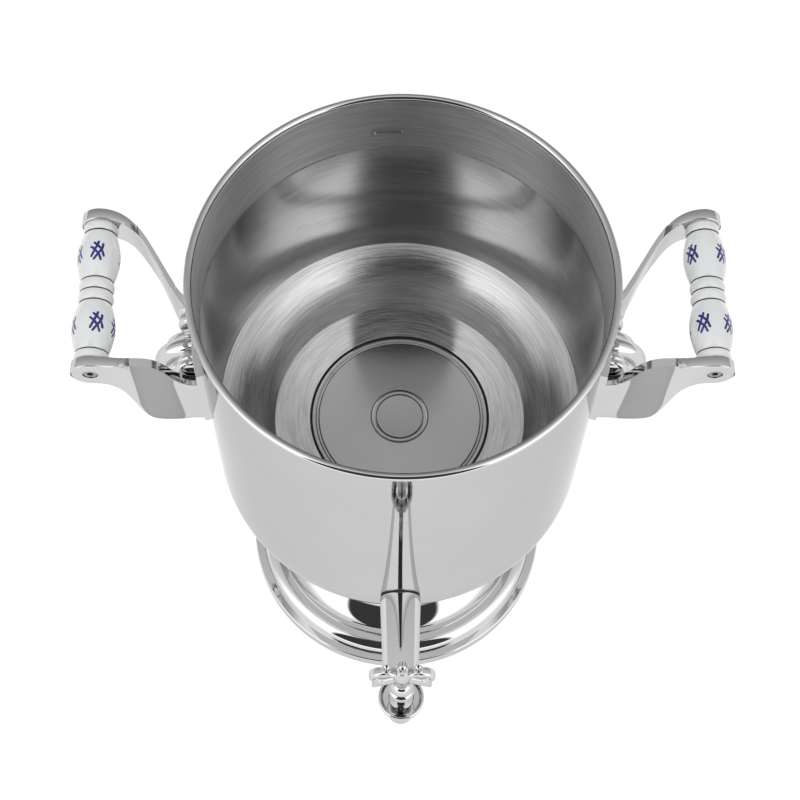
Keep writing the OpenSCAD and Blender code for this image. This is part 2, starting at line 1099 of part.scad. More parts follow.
module tie_washer() {
    color("silver")
        translate([0, 0, bowl_bottom + sheet])
            tube(24, tie_r, 2);
}

// ---- Rear panel ----

module rear_housing() {
    color("black")
        difference() {
            union() {
                through_panel(0, 90)
                    linear_extrude(panel_y - 91)
                        rounded_rectangle(panel_w, panel_h, 5);
                through_panel(0, 90)
                    linear_extrude(panel_y - 90)
                        rounded_rectangle(panel_w - 2, panel_h - 2, 4);
            }
            casing_solid();
            through_panel(inlet_x, 80)
                linear_extrude(40)
                    square([inlet_body_w, inlet_body_h], center = true);
            through_panel(switch_x, 80)
                linear_extrude(40)
                    square([switch_body_w, switch_body_h], center = true);
            both_sides()
                through_panel(panel_screw_x, 80)
                    cylinder(h = 40, r = panel_screw_r);
        }
}

module at_pins() {
    for (pin = [[-7, -2.5], [0, 1], [7, -2.5]])
        through_panel(inlet_x, panel_y)
            translate([pin[0], pin[1], 0])
                children();
}

module power_inlet() {
    color("dimgray")
        difference() {
            union() {
                through_panel(inlet_x, panel_y)
                    linear_extrude(1.4)
                        rounded_rectangle(inlet_w, inlet_h, 2);
                through_panel(inlet_x, panel_y - inlet_depth)
                    linear_extrude(inlet_depth + 0.4)
                        square([inlet_body_w, inlet_body_h], center = true);
            }
            through_panel(inlet_x, panel_y + 1.4 - inlet_cavity_depth)
                linear_extrude(30)
                    polygon([
                        [-inlet_cavity_w / 2, -inlet_cavity_h / 2],
                        [inlet_cavity_w / 2, -inlet_cavity_h / 2],
                        [inlet_cavity_w / 2, inlet_cavity_h / 2 - 4],
                        [inlet_cavity_w / 2 - 4, inlet_cavity_h / 2],
                        [4 - inlet_cavity_w / 2, inlet_cavity_h / 2],
                        [-inlet_cavity_w / 2, inlet_cavity_h / 2 - 4]
                    ]);
            at_pins()
                translate([-1, -2, -inlet_depth - 1])
                    cube([2, 4, inlet_depth]);
        }
}

module inlet_pins() {
    color("gold")
        at_pins()
            translate([-1, -2, -inlet_depth - 7])
                cube([2, 4, inlet_depth + 6]);
}

module switch_body() {
    color("black")
        difference() {
            union() {
                through_panel(switch_x, panel_y)
                    linear_extrude(1.4)
                        rounded_rectangle(switch_w, switch_h, 1.5);
                through_panel(switch_x, panel_y - switch_depth)
                    linear_extrude(switch_depth + 0.4)
                        square([switch_body_w, switch_body_h], center = true);
            }
            through_panel(switch_x, rocker_y - rocker_r - 0.4)
                linear_extrude(30)
                    square([rocker_w + 0.8, 2 * rocker_r + 0.8], center = true);
        }
}

// The rocker turns about a level axis and rests with its lower half pressed in.
module rocker() {
    color("firebrick")
        translate([switch_x - rocker_w / 2, rocker_y, panel_z])
            rotate([rocker_tilt, 0, 0])
                rotate([90, 0, 90])
                    linear_extrude(rocker_w)
                        intersection() {
                            circle(rocker_r);
                            polygon([
                                [-2, -3],
                                [3, -rocker_r],
                                [rocker_r, -rocker_r],
                                [rocker_r - 1, 0],
                                [rocker_r, rocker_r],
                                [3, rocker_r],
                                [-2, 3]
                            ]);
                        }
}

module housing_screws() {
    color("silver")
        both_sides()
            through_panel(panel_screw_x, panel_y)
                difference() {
                    union() {
                        translate([0, 0, -18])
                            cylinder(h = 18.2, r = panel_screw_r);
                        cylinder(h = 1.6, r = 2.6);
                    }
                    translate([-0.4, -3, 0.9])
                        cube([0.8, 6, 2]);
                }
}

module housing_nuts() {
    color("lightgray")
        both_sides()
            through_panel(panel_screw_x, panel_nut_y)
                hex_nut(nut_flats, nut_h, panel_screw_r);
}

outer_shell();
inner_vessel();
rim_ring();
heater_plate();
heater_gasket();
heat_spreader();
heating_element();
clamp_ring();
clamp_studs();
clamp_nuts();
thermostat();
thermal_cutout();
outlet_nut();
outlet_seal();
outlet_elbow();
link_hose();
tap_gaskets();
tap_lock_nut();
tap_body();
tap_plug();
plug_seals();
gland_nut();
tap_key();
key_finial();
handle_frame_left();
handle_frame_right();
handle_boss_left();
handle_boss_right();
grip_left();
grip_right();
grip_rod_left();
grip_rod_right();
grip_washers();
grip_screws();
saddle_rivets();
neck_collar();
base_pedestal();
base_plate();
foot_ring();
tie_rod();
tie_nuts();
tie_washer();
rear_housing();
power_inlet();
inlet_pins();
switch_body();
rocker();
housing_screws();
housing_nuts();
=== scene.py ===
from functools import reduce
from math import asin, atan2, cos, degrees, pi, radians, sin

import bmesh
import bpy
from mathutils import Matrix, Vector


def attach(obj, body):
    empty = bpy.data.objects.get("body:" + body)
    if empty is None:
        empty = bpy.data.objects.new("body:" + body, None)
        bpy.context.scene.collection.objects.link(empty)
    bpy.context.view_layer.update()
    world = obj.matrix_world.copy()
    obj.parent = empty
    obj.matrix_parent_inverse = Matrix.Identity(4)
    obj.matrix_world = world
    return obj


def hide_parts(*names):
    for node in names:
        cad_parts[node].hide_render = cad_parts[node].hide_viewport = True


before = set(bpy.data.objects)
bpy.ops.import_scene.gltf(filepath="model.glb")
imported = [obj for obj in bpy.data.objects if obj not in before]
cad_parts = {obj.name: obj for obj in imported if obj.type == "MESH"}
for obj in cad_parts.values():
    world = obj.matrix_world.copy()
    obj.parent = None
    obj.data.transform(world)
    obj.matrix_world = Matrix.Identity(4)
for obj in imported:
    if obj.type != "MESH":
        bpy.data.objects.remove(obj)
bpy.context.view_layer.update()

scene = bpy.context.scene


# ---- Inner vessel ----
# The tank for the water: stainless sheet spun to a straight collar, a slightly tapered wall and a
# sloping shoulder round a flat floor. It is brushed round its axis and meets the casing at the rim.

def turned(outline, steps=256, sweep=2 * pi, start=0.0, segments=8):
    """Spins an outline of (radius, height, rounding) corners about Z, in millimetres.

    An outline that begins and ends on the axis stays open there; any other one is closed.
    """
    shape = bmesh.new()
    corners = [shape.verts.new((corner[0], 0, corner[1])) for corner in outline]
    on_axis = outline[0][0] == 0 and outline[-1][0] == 0
    following = corners[1:] + ([] if on_axis else corners[:1])
    for pair in zip(corners, following):
        shape.edges.new(pair)
    for corner, at in zip(corners, outline):
        if len(at) > 2:
            bmesh.ops.bevel(shape, geom=[corner], offset=at[2], segments=segments,
                            affect="VERTICES", profile=0.5, material=-1)
    bmesh.ops.rotate(shape, verts=shape.verts, matrix=Matrix.Rotation(start, 3, "Z"))
    full = abs(sweep - 2 * pi) < 1e-6
    bmesh.ops.spin(shape, geom=shape.verts[:] + shape.edges[:], axis=(0, 0, 1),
                   cent=(0, 0, 0), angle=sweep, steps=steps, use_merge=full)
    bmesh.ops.remove_doubles(shape, verts=shape.verts, dist=0.002)
    if not full:
        bmesh.ops.holes_fill(shape, edges=[edge for edge in shape.edges if edge.is_boundary])
    bmesh.ops.recalc_face_normals(shape, faces=shape.faces)
    return shape


def piece(shape, name, material, stands_for=(), body="urn", crease=35):
    """Makes a shape in millimetres a piece in metres that rides on its body."""
    bmesh.ops.scale(shape, vec=(0.001, 0.001, 0.001), verts=shape.verts)
    mesh = bpy.data.meshes.new(name)
    shape.to_mesh(mesh)
    shape.free()
    mesh.materials.append(material)
    mesh.polygons.foreach_set("use_smooth", [True] * len(mesh.polygons))
    mesh.set_sharp_from_angle(angle=radians(crease))
    made = bpy.data.objects.new(name, mesh)
    scene.collection.objects.link(made)
    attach(made, body)
    if stands_for:
        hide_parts(*stands_for)


class Value:
    """A socket in a node tree. Arithmetic on it adds Math nodes, and node() adds any other."""

    def __init__(self, tree, socket=None):
        self.tree = tree
        self.socket = socket

    def node(self, kind, settings=None, inputs=None, out=0):
        made = self.tree.nodes.new("ShaderNode" + kind)
        for name, value in (settings or {}).items():
            setattr(made, name, value)
        for key, value in (inputs or {}).items():
            if isinstance(value, Value):
                self.tree.links.new(value.socket, made.inputs[key])
            else:
                made.inputs[key].default_value = value
        return Value(self.tree, made.outputs[out])

    def maths(self, operation, *values):
        return self.node("Math", {"operation": operation}, dict(enumerate(values)))

    def __add__(self, other):
        return self.maths("ADD", self, other)

    __radd__ = __add__

    def __sub__(self, other):
        return self.maths("SUBTRACT", self, other)

    def __rsub__(self, other):
        return self.maths("SUBTRACT", other, self)

    def __mul__(self, other):
        return self.maths("MULTIPLY", self, other)

    __rmul__ = __mul__

    def __truediv__(self, other):
        return self.maths("DIVIDE", self, other)

    def __rtruediv__(self, other):
        return self.maths("DIVIDE", other, self)

    def __pow__(self, other):
        return self.maths("POWER", self, other)

    def __abs__(self):
        return self.maths("ABSOLUTE", self)

    def least(self, other):
        return self.maths("MINIMUM", self, other)

    def most(self, other):
        return self.maths("MAXIMUM", self, other)

    def rise(self, low, high):
        """0 below low and 1 above high, or the other way round if low is the larger."""
        return self.node("MapRange", {"interpolation_type": "SMOOTHSTEP"},
                         {"Value": self, "From Min": low, "From Max": high})

    def beside(self, name):
        """Another output of the node that this one comes from."""
        return Value(self.tree, self.socket.node.outputs[name])

    def axes(self):
        x = self.node("SeparateXYZ", inputs={"Vector": self})
        return x, x.beside("Y"), x.beside("Z")

    def vector(self, x, y, z):
        return self.node("CombineXYZ", inputs={0: x, 1: y, 2: z})

    def noise(self, scale, detail, roughness=0.5):
        return self.node("TexNoise", inputs={
            "Vector": self, "Scale": scale, "Detail": detail, "Roughness": roughness})

    def between(self, first, second):
        return self.node("Mix", {"data_type": "RGBA"}, {0: self, 6: first, 7: second}, out=2)

    def bump(self, depth):
        return self.node("Bump", inputs={"Height": self, "Distance": depth})


def finish(name, fixed, varying):
    """A material. What is the same all over is set on the shader; varying(place) gives the rest."""
    material = bpy.data.materials.new(name)
    material.use_nodes = True
    tree = material.node_tree
    shader = tree.nodes["Principled BSDF"]
    for key, value in fixed.items():
        shader.inputs[key].default_value = value
    place = Value(tree).node("TexCoord", out="Object")
    for key, value in varying(place).items():
        tree.links.new(value.socket, shader.inputs[key])
    return material


def grey(level, warmth=0.0):
    return (level * (1 + warmth), level, level * (1 - warmth), 1)


def from_axis(x, y):
    """Distance from the vertical axis, never quite 0 because brush lines divide by it."""
    return (x * x + y * y + 1e-8) ** 0.5


def vessel_brush(place):
    """Smooth drawn wall, with a coarser brushing on the collar and on the shoulder and floor."""
    x, y, z = place.axes()
    radius = from_axis(x, y)
    across = z + radius
    coarse = place.vector(x / radius * 3, y / radius * 3, across * 700).noise(1.0, 3)
    fine = place.vector(x / radius * 6, y / radius * 6, across * 2600).noise(1.0, 2)
    grain = coarse * 0.55 + fine * 0.45
    collar, base = z.rise(0.3078, 0.3092), z.rise(0.2115, 0.2105)
    rough = collar.most(base)
    contrast = (grain - 0.5) * (rough * 1.6 + 0.8) + 0.5
    return {
        "Base Color": contrast.rise(0.2, 0.8).between(grey(0.54), grey(0.72)),
        "Roughness": collar * 0.24 + base * 0.14 + grain.rise(0.25, 0.75) * 0.05 + 0.06,
        "Normal": (grain * (rough * 0.95 + 0.05)).bump(0.00014),
    }


vessel_steel = finish(
    "vessel_steel", {"Metallic": 1, "Anisotropic": 0.8, "Anisotropic Rotation": 0.25}, vessel_brush)


def domed(inner, outer, sag):
    """Points of a shallow arc that bulges up and in, from the inner to the outer end."""
    count = 14
    (r0, z0), (r1, z1) = inner, outer
    chord = ((r1 - r0) ** 2 + (z1 - z0) ** 2) ** 0.5
    lift = [4 * sag * (step / count) * (1 - step / count) / chord for step in range(count + 1)]
    return [(r0 + (r1 - r0) * step / count - (z1 - z0) * lift[step],
             z0 + (z1 - z0) * step / count + (r1 - r0) * lift[step]) for step in range(count + 1)]


def faces_at(shape, wanted):
    """The faces whose middle is wanted."""
    return [face for face in shape.faces if wanted(face.calc_center_median())]


FLOOR_Z, COLLAR_R, WALL_TOP = 186.4, 101.1, 348.2
MARK_Z, MARK_HALF, MARK_TURN, MARK_REACH = 322, 2.8, 93.4, 5

shoulder = domed((70.2, FLOOR_Z), (98.4, 210.8), 4.2)
vessel = turned(
    [(50.6, FLOOR_Z)] + shoulder + [
        (100.7, 307.9, 0.15), (COLLAR_R, 308.9, 0.15), (COLLAR_R, MARK_Z - MARK_HALF),
        (COLLAR_R, MARK_Z + MARK_HALF), (COLLAR_R, WALL_TOP),
        (101.9, WALL_TOP), (101.9, 309), (101.5, 308), (99.2, 210.4)]
    + [(radius + 0.3, height - 0.8) for radius, height in shoulder[-2::-1]] + [(50.6, 185.6)],
    steps=288)
level_mark = faces_at(vessel, lambda middle: (
    abs(middle.z - MARK_Z) < 1 and middle.xy.length < COLLAR_R + 0.4
    and abs(degrees(atan2(middle.y, middle.x)) - MARK_TURN) < MARK_REACH))
# The mark is a raised lip round a sunken middle: one width and one height for each step inwards.
for width, height in ((1, 0.8), (0.5, 0), (0.9, -1.4)):
    bmesh.ops.inset_region(
        vessel, faces=level_mark, thickness=width, depth=height, use_even_offset=True)
piece(vessel, "vessel", vessel_steel, ["inner_vessel"])


# ---- Heater plate ----
# A satin stainless disc that closes the opening of the floor. Its rim is rolled to a raised bead
# with a groove inside it, and a small ring is pressed in its middle. A gasket seals it from below.

def plate_satin_and_painted_shade(place):
    """Satin that turns glossy at a low angle, with painted shade in the foot of the bead and of the
    ring.
    """
    x, y, _ = place.axes()
    radius = from_axis(x, y)
    # Painted shade: near-black lines at both feet of the pressed ring and at the inner edge of the
    # groove inside the bead.
    foot = reduce(Value.most, (
        abs(radius - at).rise(0.0004, 0.0002) for at in (0.0132, 0.0161, 0.0455)))
    fine = place.noise(1800, 2)
    low_angle = place.node("LayerWeight", inputs={"Blend": 0.5}, out=1).rise(0.128, 0.145)
    return {
        "Base Color": (foot * (0.9 + fine * 0.1)).between(grey(0.6), grey(0.06)),
        "Roughness": fine * 0.04 + 0.46 - low_angle * 0.27,
    }


METAL = {"Metallic": 1}
plate_steel = finish("plate_steel", METAL, plate_satin_and_painted_shade)

plate = turned([
    (0, FLOOR_Z), (13.2, FLOOR_Z, 0.3), (13.9, 187.2, 0.5), (15.3, 187.2, 0.5),
    (16, FLOOR_Z, 0.3), (45.5, FLOOR_Z, 0.3), (46, 185.6, 0.3), (46.9, 185.6, 0.3),
    (47.3, 186.5, 0.5), (49.2, 186.5, 0.7), (49.6, 185.4), (49.6, 183.8),
    (56.3, 183.8), (56.3, 182.8), (48.6, 182.8), (48.6, 184.8), (0, 184.8),
], steps=192, segments=4)
piece(plate, "heater_disc", plate_steel, ["heater_plate"])


# ---- Under the floor ----
# The clamped stack below the plate: gasket, clamp ring with studs and nuts, aluminium spreader with
# the sheathed element under it, and two thermal controls. Stock parts, each in a plain finish.

def dress(material, *names):
    """Gives a finish to CAD parts that stay as they are."""
    for name in names:
        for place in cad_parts[name].material_slots:
            place.material = material


def cast(level, warmth, roughness, spread=0.08):
    """Even metal with faint cloudiness and a fine grain."""
    def grain(place):
        cloud = place.noise(37.5, 3)
        fine = place.noise(1800, 2)
        return {
            "Base Color": cloud.rise(0.3, 0.7).between(
                grey(level * (1 - spread), warmth), grey(level * (1 + spread), warmth)),
            "Roughness": fine * 0.12 + (roughness - 0.06),
            "Normal": fine.bump(0.00002),
        }
    return grain


def tinted(colour, roughness, scale=400, depth=0.00003, spread=0.15):
    """A coloured, non-metallic moulding with a fine surface grain."""
    def grain(place):
        cloud = place.noise(scale / 6, 2)
        fine = place.noise(scale * 8, 2)
        dark = tuple(part * (1 - spread) for part in colour) + (1,)
        light = tuple(part * (1 + spread) for part in colour) + (1,)
        return {
            "Base Color": cloud.rise(0.3, 0.7).between(dark, light),
            "Roughness": fine * 0.16 + (roughness - 0.08),
            "Normal": fine.bump(depth),
        }
    return grain


plain_steel = finish("plain_steel", METAL, cast(0.58, 0.01, 0.32))
spreader_alloy = finish("spreader_alloy", METAL, cast(0.7, -0.01, 0.5))
sheath = finish("sheath", {"Metallic": 0.8}, cast(0.16, 0.02, 0.55, 0.25))
machined_brass = finish("machined_brass", METAL, lambda place: {
    "Base Color": place.noise(90, 3).rise(0.3, 0.7).between(
        (0.62, 0.43, 0.17, 1), (0.74, 0.55, 0.25, 1)),
    "Roughness": place.noise(900, 2) * 0.12 + 0.2,
})
red_silicone = finish("red_silicone", {}, tinted((0.42, 0.09, 0.06), 0.6))
black_rubber = finish("black_rubber", {}, tinted((0.022, 0.022, 0.023), 0.75, 300, 0.00006))
control_ceramic = finish("control_ceramic", {}, tinted((0.72, 0.69, 0.62), 0.55, spread=0.05))
control_plastic = finish("control_plastic", {}, tinted((0.03, 0.03, 0.032), 0.45))

lip = turned([(49.7, 184), (49.7, 185.9, 0.3), (50.5, 185.9, 0.3), (50.5, 184)],
             steps=192, segments=2)
piece(lip, "gasket_lip", black_rubber)

dress(red_silicone, "outlet_seal", "link_hose")
dress(plain_steel, "clamp_ring", "clamp_studs", "clamp_nuts", "outlet_nut", "tap_lock_nut")
dress(spreader_alloy, "heat_spreader")
dress(sheath, "heating_element")
dress(control_ceramic, "thermostat")
dress(control_plastic, "thermal_cutout")
dress(machined_brass, "outlet_elbow", "tap_plug")
dress(black_rubber, "heater_gasket", "tap_gaskets", "plug_seals")


# ---- Casing ----
# The outer wall: stainless sheet spun to a straight side and a round bowl, polished to a mirror.
# It stands a few millimetres off the vessel and is open behind the rear panel for its fittings.

def polished(level, roughness):
    """Mirror polish with the faintest clouding and hairlines."""
    def polish(place):
        cloud = place.noise(22, 3)
        hair = place.noise(700, 3, 0.7)
        return {
            "Base Color": cloud.rise(0.3, 0.7).between(grey(level * 0.985), grey(level * 1.015)),
            "Roughness": cloud.rise(0.35, 0.8) * 0.03 + hair.rise(0.55, 0.8) * 0.02 + roughness,
        }
    return polish


# Shared by all polished pieces. The tint keeps them a little darker at a low angle.
MIRROR = {"Metallic": 1, "Specular Tint": (0.72, 0.72, 0.72, 1)}
casing_steel = finish("casing_steel", MIRROR, polished(0.62, 0.03))

CASING_R, CASING_FOOT, TIE_HOLE_R, BOWL_ROUNDING = 103.2, 107.4, 3.2, 63
OPENING_LOW, OPENING_HIGH, OPENING_HALF = 158.5, 181, 27

casing = bmesh.new()
wall = [casing.verts.new((radius, 0, height)) for radius, height in (
    (CASING_R, WALL_TOP), (CASING_R, 182), (CASING_R, 176), (CASING_R, CASING_FOOT),
    (TIE_HOLE_R, CASING_FOOT))]
for pair in zip(wall, wall[1:]):
    casing.edges.new(pair)
bmesh.ops.bevel(casing, geom=[wall[3]], offset=BOWL_ROUNDING, segments=40, affect="VERTICES",
                profile=0.5, material=-1)
bmesh.ops.spin(casing, geom=casing.verts[:] + casing.edges[:], axis=(0, 0, 1), cent=(0, 0, 0),
               angle=2 * pi, steps=288, use_merge=True)
bmesh.ops.remove_doubles(casing, verts=casing.verts, dist=0.002)
bmesh.ops.recalc_face_normals(casing, faces=casing.faces)
# The wall gets its thickness inwards, from faces that point away from the axis.
if casing.faces[0].normal.dot(casing.faces[0].calc_center_median() - Vector((0, 0, 230))) < 0:
    bmesh.ops.reverse_faces(casing, faces=casing.faces)
behind_panel = faces_at(casing, lambda middle: (
    middle.y > 50 and abs(middle.x) < OPENING_HALF and OPENING_LOW < middle.z < OPENING_HIGH))
bmesh.ops.delete(casing, geom=behind_panel, context="FACES")
bmesh.ops.solidify(casing, geom=casing.faces[:], thickness=0.8)
piece(casing, "casing", casing_steel, ["outer_shell"])


# ---- Rim ----
# Both walls end in one polished bead of stainless steel. It is rolled over their edges, holds them
# together and closes the gap between them.

RIM_R, RIM_LOW, RIM_HIGH, RIM_ROUNDING = 105, 347.1, 351, 1.94

rim_steel = finish("rim_steel", MIRROR, polished(0.63, 0.05))
rim = turned([(radius, height, RIM_ROUNDING) for radius, height in (
    (COLLAR_R, RIM_LOW), (RIM_R, RIM_LOW), (RIM_R, RIM_HIGH), (COLLAR_R, RIM_HIGH))], steps=288)
piece(rim, "rim_bead", rim_steel, ["rim_ring"])


# ---- Tap ----
# Chrome-plated cast brass: a tapered pipe screwed through the casing, a turned barrel with a
# rounded rim above and a short spout below, and a slim gland nut that keeps the plug in.

TAP_Y, PIPE_Z, BORE_R = -161.7, 175, 4.4

chrome = finish("chrome", MIRROR, polished(0.67, 0.025))


def laid(shape):
    """Lays a turned shape down, so that its upper end points to the front."""
    bmesh.ops.rotate(shape, verts=shape.verts, matrix=Matrix.Rotation(pi / 2, 3, "X"))
    return shape


def moved(shape, x=0, y=0, z=0):
    bmesh.ops.translate(shape, verts=shape.verts, vec=(x, y, z))
    return shape


pipe = laid(turned([(BORE_R, 87), (7, 87), (7, 103.5), (11.2, 103.5, 0.8), (9.2, 158.5, 2),
                    (BORE_R, 158.5)], steps=128))
piece(moved(pipe, z=PIPE_Z), "tap_pipe", chrome)

barrel = turned([
    (BORE_R, 156.2), (7, 156.2, 0.7), (7.4, 165.2, 4), (9.8, 174.8, 4), (11, 181.6, 1.5),
    (11, 183.4, 0.4), (12, 184, 0.7), (12, 187, 0.9), (10.6, 187, 0.4), (10, 185.6, 0.6),
    (6.6, 185.6), (6.6, 166.4), (BORE_R, 166.4)], steps=128)
piece(moved(barrel, y=TAP_Y), "tap_barrel", chrome, ["tap_body"])

gland = turned([(4.05, 184.4), (6.4, 184.4), (6.4, 186, 0.3), (4.5, 186.3, 0.2), (4.5, 197.9),
                (4.05, 197.9)], steps=96, segments=5)
piece(moved(gland, y=TAP_Y), "gland", chrome, ["gland_nut"])


# ---- Tap key ----
# A cast butterfly key: a ball and a waisted hub on the plug's stem, two dished lobes with raised
# rims, a leaf under each and a stud on each shoulder. It turns a quarter of a turn with the plug.

def joined(parts):
    """One shape with the faces of all of them."""
    whole = parts[0]
    for part in parts[1:]:
        mesh = bpy.data.meshes.new("joined")
        part.to_mesh(mesh)
        part.free()
        whole.from_mesh(mesh)
        bpy.data.meshes.remove(mesh)
    return whole


def fused(parts, voxel, passes):
    """One closed casting from overlapping shapes, its joints softened."""
    whole = joined(parts)
    mesh = bpy.data.meshes.new("fused")
    whole.to_mesh(mesh)
    holder = bpy.data.objects.new("fused", mesh)
    scene.collection.objects.link(holder)
    remesh = holder.modifiers.new("fuse", "REMESH")
    remesh.mode = "VOXEL"
    remesh.voxel_size = voxel
    smooth = holder.modifiers.new("soften", "SMOOTH")
    smooth.factor = 0.5
    smooth.iterations = passes
    cast_mesh = bpy.data.meshes.new_from_object(
        holder.evaluated_get(bpy.context.evaluated_depsgraph_get()))
    whole.clear()
    whole.from_mesh(cast_mesh)
    bpy.data.objects.remove(holder)
    bpy.data.meshes.remove(mesh)
    bpy.data.meshes.remove(cast_mesh)
    return whole


def plate_of(corners, thick, edge):
    """A flat plate with rounded edges, upright in the XZ plane."""
    shape = bmesh.new()
    face = shape.faces.new([shape.verts.new((x, -thick / 2, z)) for x, z in corners])
    grown = bmesh.ops.extrude_face_region(shape, geom=[face])
    back = [part for part in grown["geom"] if isinstance(part, bmesh.types.BMVert)]
    bmesh.ops.translate(shape, verts=back, vec=(0, thick, 0))
    bmesh.ops.recalc_face_normals(shape, faces=shape.faces)
    bmesh.ops.bevel(shape, geom=shape.edges[:], offset=edge, segments=3, affect="EDGES",
                    profile=0.5, material=-1)
    return shape


BALL_R, BALL_Z, LOBE_X, LOBE_Z, STUD_X = 5.8, 208.6, 8.6, 229, 7.9

ball = [(BALL_R * cos(radians(turn)), BALL_Z + BALL_R * sin(radians(turn)))
        for turn in range(-62, 59, 6)]
hub = turned(
    [(0, 198.3), (5.9, 198.3, 0.5), (6.5, 199.2, 0.8), (6.5, 200.9, 0.4), (6, 201.2),
     (6.3, 201.6, 0.3), (6.3, 202.8, 0.7), (5, 203.4, 0.3), (3.2, 203.7, 0.2)] + ball
    + [(3.3, 215.4, 0.5), (3.3, 220, 1.5), (4.6, 227, 3), (4.6, 232, 2), (3.4, 236.4, 0.8),
       (3, 238), (0, 238)], steps=64)
key_parts = [hub]
for side in (-1, 1):
    lobe = turned([(0, 1.1), (4.6, 1.1, 0.8), (5.7, 2.6, 0.8), (8.2, 2.6, 1.8), (8.2, -2.6, 1.8),
                   (5.7, -2.6, 0.8), (4.6, -1.1, 0.8), (0, -1.1)], steps=64)
    leaf = plate_of([(side * x, z) for x, z in (
        (2, 221), (8, 217.6), (14.6, 212.8), (15.6, 214), (13.6, 220.5), (9, 225), (3, 230))],
        thick=4.4, edge=0.9)
    stud = turned([(0, 231), (1.7, 231), (1.3, 236.5, 2), (2.5, 240.6, 0.3), (1.9, 240.6, 0.3),
                   (0, 239.4)], steps=32)
    key_parts += [moved(laid(lobe), side * LOBE_X, 0, LOBE_Z), leaf, moved(stud, side * STUD_X)]
key = fused(key_parts, voxel=0.3, passes=2)
piece(moved(key, y=TAP_Y), "butterfly_key", chrome, ["tap_key"], "tap_key", crease=80)


# ---- Finial ----
# The small crown that is screwed on above the hub and holds the key on the stem: a turned knob in
# a ring of eight prongs, chrome-plated as the rest of the tap.

PRONGS, PRONG_R, PRONG_Z = 8, 2.6, 243.2

knob = turned([(0, 237.9), (2.6, 237.9, 0.5), (1.6, 239.8, 0.4), (3.1, 241.4, 0.6), (3.2, 243, 0.6),
               (1.9, 244, 0.3), (2.2, 245.2, 0.5), (0, 247)], steps=48)
crown_parts = [knob]
for count in range(PRONGS):
    prong = bmesh.new()
    bmesh.ops.create_icosphere(prong, subdivisions=2, radius=0.9)
    bmesh.ops.scale(prong, verts=prong.verts, vec=(0.75, 0.75, 2.6))
    moved(prong, PRONG_R, 0, PRONG_Z)
    bmesh.ops.rotate(prong, verts=prong.verts,
                     matrix=Matrix.Rotation(count * 2 * pi / PRONGS, 3, "Z"))
    crown_parts.append(prong)
piece(moved(joined(crown_parts), y=TAP_Y), "crown", chrome, ["key_finial"], "tap_key")


# ---- Handle frames ----
# Chrome-plated castings: a saddle plate riveted to the casing, and two flat arms that rise and
# swing out from it to round lugs. A socket screw in each lug clamps the grip between them.

SIDES = (("right", 1), ("left", -1))
GRIP_X, GRIP_Z = 149.1, 331.6
LUG_R, LUG_FACE, ARM_T, ARM_ROOT = 9.4, 43.3, 5.8, 102.4

# Points along the lower and the upper edge of an arm's outer face: distance from the casing's axis
# towards the grip, swing to the side, and height.
LOW_EDGE = [
    (102, 25, 240.5), (111, 25, 240.5), (114, 26.2, 241.5), (117.7, 30.2, 250), (121.2, 34.7, 260),
    (124, 39, 270), (127.6, 42.8, 281.5), (131, LUG_FACE, 297), (133.5, LUG_FACE, 308.5),
    (137, LUG_FACE, 316), (141, LUG_FACE, 320.2), (145, LUG_FACE, 322), (153, LUG_FACE, 322.2)]

TOP_EDGE = [
    (102, 25, 280.5), (110, 25, 281), (114, 25.1, 285.5), (117, 26.4, 295.5), (120, 28.5, 306),
    (123, 31.1, 314.7), (126, 34.1, 322), (129, 36.9, 328), (132, 39.2, 332.3), (135, 40.8, 335.2),
    (138, 42, 337.5), (141, 42.6, 339.2), (144, 43, 340.4), (148, LUG_FACE, 341),
    (153, LUG_FACE, 341)]


def arm_reach(share):
    """Distance from the urn's axis, its share running from the casing to the tip of the lug."""
    straight = GRIP_X - ARM_ROOT
    along = share * (straight + LUG_R * pi / 2)
    if along <= straight:
        return ARM_ROOT + along
    return GRIP_X + LUG_R * sin((along - straight) / LUG_R)


def edge_at(points, x):
    """Swing and height of one edge of the arm, rounded off at its points."""
    swing = height = 0
    for step in range(-4, 5):
        at = min(max(x + step * 0.65, 102), 152.9)
        first, second = next((a, b) for a, b in zip(points, points[1:]) if a[0] <= at < b[0])
        part = (at - first[0]) / (second[0] - first[0])
        swing += (first[1] + (second[1] - first[1]) * part) / 9
        height += (first[2] + (second[2] - first[2]) * part) / 9
    return swing, height


def arm_swing(x, edge):
    """How far out the arm's face is. Its lower edge swings out before its upper one."""
    below, above = edge_at(LOW_EDGE, x)[0], edge_at(TOP_EDGE, x)[0]
    return below + (above - below) * edge


def arm_place(share, edge, depth):
    """A point at that depth under the outer face, between the lower and the upper edge."""
    x = arm_reach(share)
    if x > GRIP_X:
        half = max(LUG_R ** 2 - (x - GRIP_X) ** 2, 0) ** 0.5
        low, high = GRIP_Z - half, GRIP_Z + half
    else:
        low, high = edge_at(LOW_EDGE, x)[1], edge_at(TOP_EDGE, x)[1]
    lean = atan2(arm_swing(x + 0.2, edge) - arm_swing(x - 0.2, edge), 0.4)
    inwards = depth * (1 - 0.2 * sin(2 * lean))
    return Vector((x, arm_swing(x, edge) - inwards, low + (high - low) * edge))


